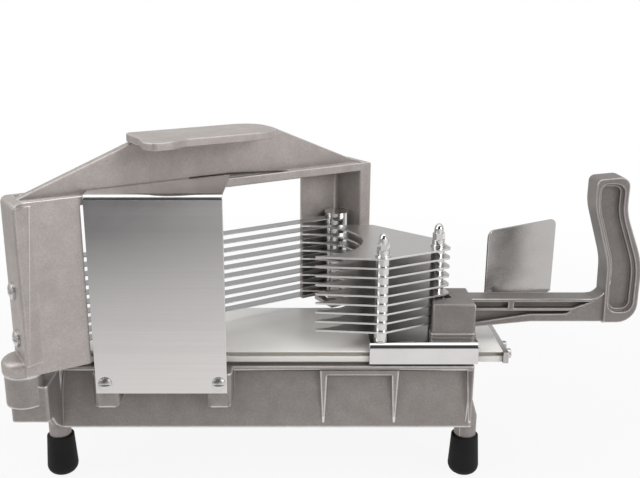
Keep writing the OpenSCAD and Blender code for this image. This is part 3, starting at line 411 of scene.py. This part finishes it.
def board_plastic():
    """Milky polyethylene, planed, with dull streaks where the carriage runs."""
    made, tree, shader = material("milky board plastic", IOR=1.5, Subsurface_Weight=0.12,
                                  Subsurface_Scale=3 * MM, Subsurface_Radius=BOARD_DEPTH)
    streak = placed_group(tree, BRUSH_LINES, Stretch=(9.0, 420.0, 420.0))
    lines = streak.outputs["Lines"]
    smears = effect(tree, HANDLING, Scale=14.0)
    recess_shade = effect(tree, RECESS_SHADE, Reach=6 * MM)
    tone = mixed(tree, smears, BOARD_CLEAN, BOARD_SMEARED)
    worn = mixed(tree, span(tree, streak.outputs["Bands"], (0.5, 0.75), (0.0, 0.2)), tone, BOARD_STREAK)
    # Painted shade: the board darkens in its groove and under its edges
    colour = mixed(tree, scaled(tree, recess_shade, 0.7), worn, BOARD_SHADE)
    rough = span(tree, lines, (0.3, 0.7), (0.17, 0.25))
    normal = bumped(tree, lines, strength=0.08, depth=0.03 * MM, corner=0.6 * MM)
    feed(tree, shader, Base_Color=colour, Roughness=rough, Normal=normal)
    return made


def foot_rubber():
    """Moulded black rubber, matt and finely grained."""
    made, tree, shader = material("matt black rubber", IOR=1.35)
    skin = placed_group(tree, CAST_SKIN, Blotch_Scale=60.0, Grain_Scale=2600.0)
    grain = skin.outputs["Grain"]
    colour = mixed(tree, skin.outputs["Blotches"], RUBBER_DARK, RUBBER_PALE)
    rough = span(tree, grain, (0.3, 0.7), (0.62, 0.8))
    normal = bumped(tree, grain, strength=0.3, depth=0.05 * MM, corner=0.6 * MM)
    feed(tree, shader, Base_Color=colour, Roughness=rough, Normal=normal)
    return made


def knob_plastic():
    """Moulded black plastic, satin, paler at its edges, partly worn edges and partly painted highlight.
    """
    made, tree, shader = material("moulded knob plastic", IOR=1.5)
    skin = placed_group(tree, CAST_SKIN, Blotch_Scale=80.0, Grain_Scale=3000.0)
    worn_and_highlit = effect(tree, EDGE_WEAR_AND_HIGHLIGHT, Reach=0.5 * MM, Break_Up=0.6)
    # Paler outer edges: partly worn edges, partly painted highlight
    colour = mixed(tree, scaled(tree, worn_and_highlit, 0.4), KNOB_BLACK, KNOB_WORN_HIGHLIGHT)
    rough = span(tree, skin.outputs["Blotches"], (0.0, 1.0), (0.3, 0.42))
    normal = bumped(tree, skin.outputs["Grain"], strength=0.15, depth=0.03 * MM, corner=0.5 * MM)
    feed(tree, shader, Base_Color=colour, Roughness=rough, Normal=normal)
    return made


FINISHES = {
    "cast_aluminium": cast_aluminium("blasted cast aluminium", tone=0.84, bright_edge_width=1.5 * MM),
    "stainless_sheet": sheet_steel("brushed stainless sheet", tone=(0.50, 0.488, 0.48), roughness=0.24),
    "polished_steel": bright_steel("polished steel", tone=(0.71, 0.70, 0.695), roughness=0.05),
    "blade_steel": sheet_steel("ground blade steel", tone=(0.40, 0.40, 0.405), roughness=0.2,
                               turn=BLADE_TURN),
    "screw_steel": bright_steel("turned screw steel", tone=(0.68, 0.67, 0.66), roughness=0.28),
    "white_plastic": board_plastic(),
    "black_rubber": foot_rubber(),
    "black_plastic": knob_plastic(),
}
# Pieces whose finish differs a little from the rest of their slot
PLATE_FINISH = sheet_steel("brushed finger plate", tone=(0.63, 0.616, 0.607), roughness=0.3)
OWN_FINISH = {
    # A lighter copy of the casting finish: painted light on the frame
    "frame_casting": cast_aluminium("painted-light blasted cast aluminium", tone=1.22, bright_edge_width=0.8 * MM),
    # A darker copy of the casting finish: painted shade on the pusher
    "pusher_casting": cast_aluminium("painted-shade blasted cast aluminium", tone=0.66, bright_edge_width=1.0 * MM),
    "front_guard": sheet_steel("bright brushed guard sheet", tone=(0.72, 0.705, 0.70), roughness=0.2),
}
OWN_FINISH.update({name: PLATE_FINISH for name in nodes if name.startswith("finger_plate")})


def finish_of(name):
    """A node's own finish, or that of its slot."""
    return OWN_FINISH.get(name, FINISHES[slot_of[name]])


# Softened pieces

def add_object(name, data):
    """An object made of the data and linked to the scene."""
    made = bpy.data.objects.new(name, data)
    bpy.context.scene.collection.objects.link(made)
    return made


def mesh_from(name, work):
    """A mesh from a bmesh, which is then freed."""
    mesh = bpy.data.meshes.new(name)
    work.to_mesh(mesh)
    work.free()
    return mesh


def merged_copy(name):
    """A CAD node's mesh as a bmesh with its loose triangles joined and its flats made whole."""
    work = bmesh.new()
    work.from_mesh(nodes[name].data)
    bmesh.ops.remove_doubles(work, verts=work.verts, dist=MERGE_WITHIN)
    bmesh.ops.dissolve_limit(work, angle_limit=FLAT_WITHIN, verts=work.verts, edges=work.edges,
                             use_dissolve_boundaries=False)
    return work


def sharp_edges(work, seats):
    """Edges that turn sharply, apart from those under a seated screw, pin or rod."""
    boxes = [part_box(seat) for seat in seats]

    def seated(edge):
        middle = (edge.verts[0].co + edge.verts[1].co) / 2
        return any(all(low[i] - SEAT_MARGIN < middle[i] < high[i] + SEAT_MARGIN for i in range(3))
                   for low, high in boxes)

    return [edge for edge in work.edges if len(edge.link_faces) == 2
            and edge.calc_face_angle(0.0) > EDGE_ANGLE and not seated(edge)]


def corner_use(loop, own, other):
    """Length that the bevels at a face's corner take from the edge, per unit of width."""
    side = math.sin(loop.calc_angle())
    if not loop.is_convex or side < STRAIGHT_CORNER:
        return 0.0
    return (other + math.cos(loop.calc_angle()) * own) / side


def roomy_edges(work, edges, width):
    """The edges that can all be bevelled without closing up another edge of any face."""
    chosen = set(edges)
    while True:
        tight = set()
        for loop in (loop for face in work.faces for loop in face.loops):
            after = loop.link_loop_next
            trio = (loop.link_loop_prev.edge, loop.edge, after.edge)
            before_on, on, after_on = (edge in chosen for edge in trio)
            use = corner_use(loop, on, before_on) + corner_use(after, on, after_on)
            if loop.edge.calc_length() < ROOM * use * width and (before_on or on or after_on):
                tight.add(min((edge for edge in trio if edge in chosen), key=lambda e: e.calc_length()))
        if not tight:
            return [edge for edge in edges if edge in chosen]
        chosen -= tight


def soften(work, edges, width):
    """Rounds those of the edges that have room for it."""
    bmesh.ops.bevel(work, geom=roomy_edges(work, edges, width), offset=width, offset_type="OFFSET",
                    affect="EDGES", segments=EDGE_SEGMENTS, profile=0.5, material=-1, loop_slide=True)


def piece(name, work, replaced):
    """Writes a bmesh out as a piece that stands for a CAD node and rides on its body."""
    mesh = mesh_from(name, work)
    mesh.shade_smooth()
    mesh.set_sharp_from_angle(angle=SHADING_ANGLE)
    mesh.materials.append(finish_of(replaced))
    made = add_object(name, mesh)
    made.modifiers.new("even shading", "WEIGHTED_NORMAL").keep_sharp = True
    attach(made, body_of[replaced])
    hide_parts(replaced)


# Dress every node
for name, cad in nodes.items():
    cad.data.materials.clear()
    cad.data.materials.append(finish_of(name))

for name, (width, seats) in SOFTENED.items():
    work = merged_copy(name)
    soften(work, sharp_edges(work, seats), width)
    piece(name + "_softened", work, name)


# Studio

def floor_paint():
    """White to the camera, apart from a soft shadow; metal sees it darken at the front left."""
    paint = bpy.data.materials.new("white studio floor")
    paint.use_nodes = True
    tree = paint.node_tree
    tree.nodes.clear()
    rays = node(tree, "ShaderNodeLightPath").outputs
    mirrored = math_node(tree, "MAXIMUM", rays["Is Glossy Ray"], rays["Is Transmission Ray"])
    seen = math_node(tree, "MAXIMUM", rays["Is Camera Ray"], mirrored)
    share = span(tree, distance_from(tree, (0.0, 0.0, 0.0)), SHADOW_REACH, SHADOW_WHITE)
    across = node(tree, "ShaderNodeSeparateXYZ", links={"Vector": object_place(tree)}).outputs["X"]
    light = scaled(tree, span(tree, distance_from(tree, DARK_SPOT), DARK_REACH),
                   span(tree, across, LEFT_REACH, LEFT_SHARE))
    paper = mixed(tree, light, PAPER_DARK, PAPER_WHITE)
    shown = mixed(tree, rays["Is Glossy Ray"], WHITE, paper)
    matt = node(tree, "ShaderNodeBsdfDiffuse", {"Color": FLOOR_GREY}).outputs[0]
    glow = node(tree, "ShaderNodeEmission", {"Strength": 1.0}, {"Color": shown}).outputs[0]
    mix = node(tree, "ShaderNodeMixShader", links={0: scaled(tree, seen, share), 1: matt, 2: glow})
    node(tree, "ShaderNodeOutputMaterial", links={"Surface": mix.outputs[0]})
    return paint


def studio_floor():
    work = bmesh.new()
    bmesh.ops.create_grid(work, x_segments=1, y_segments=1, size=FLOOR_HALF)
    mesh = mesh_from("studio floor", work)
    mesh.materials.append(floor_paint())
    made = add_object("studio_floor", mesh)


def studio_world():
    """White to the camera; to the rest, bright behind the object and dark on the photographer's side."""
    world = bpy.data.worlds.new("studio")
    bpy.context.scene.world = world
    world.use_nodes = True
    tree = world.node_tree
    tree.nodes.clear()
    way = node(tree, "ShaderNodeTexCoord").outputs["Generated"]
    parts = node(tree, "ShaderNodeSeparateXYZ", links={"Vector": way})
    room = mixed(tree, span(tree, parts.outputs["Y"], ROOM_TURN), ROOM_DARK, ROOM_BRIGHT)
    rays = node(tree, "ShaderNodeLightPath")
    colour = mixed(tree, rays.outputs["Is Camera Ray"], room, WHITE)
    back = node(tree, "ShaderNodeBackground", {"Strength": 1.0}, {"Color": colour})
    node(tree, "ShaderNodeOutputWorld", links={"Surface": back.outputs[0]})


def studio_camera():
    lens = bpy.data.cameras.new("camera")
    lens.sensor_width = SENSOR
    lens.lens = FOCAL_PX / IMAGE_W * SENSOR
    lens.shift_x = (IMAGE_W / 2 - AXIS_PX) / IMAGE_W
    lens.clip_start, lens.clip_end = CLIP
    made = add_object("camera", lens)
    made.location = CAMERA_AT
    made.rotation_euler = (math.pi / 2 - CAMERA_PITCH, 0.0, 0.0)
    bpy.context.scene.camera = made


def softbox(name, at, aim, size, watts):
    """A rectangular lamp turned towards its aim."""
    light = bpy.data.lights.new(name, "AREA")
    light.shape = "RECTANGLE"
    light.size, light.size_y = size
    light.energy = watts
    made = add_object(name, light)
    made.location = at
    made.rotation_euler = (Vector(aim) - Vector(at)).to_track_quat("-Z", "Y").to_euler()


studio_floor()
studio_world()
studio_camera()
for name, (at, aim, size, watts) in SOFTBOXES.items():
    softbox(name, at, aim, size, watts)
bpy.context.scene.view_settings.view_transform = "Standard"
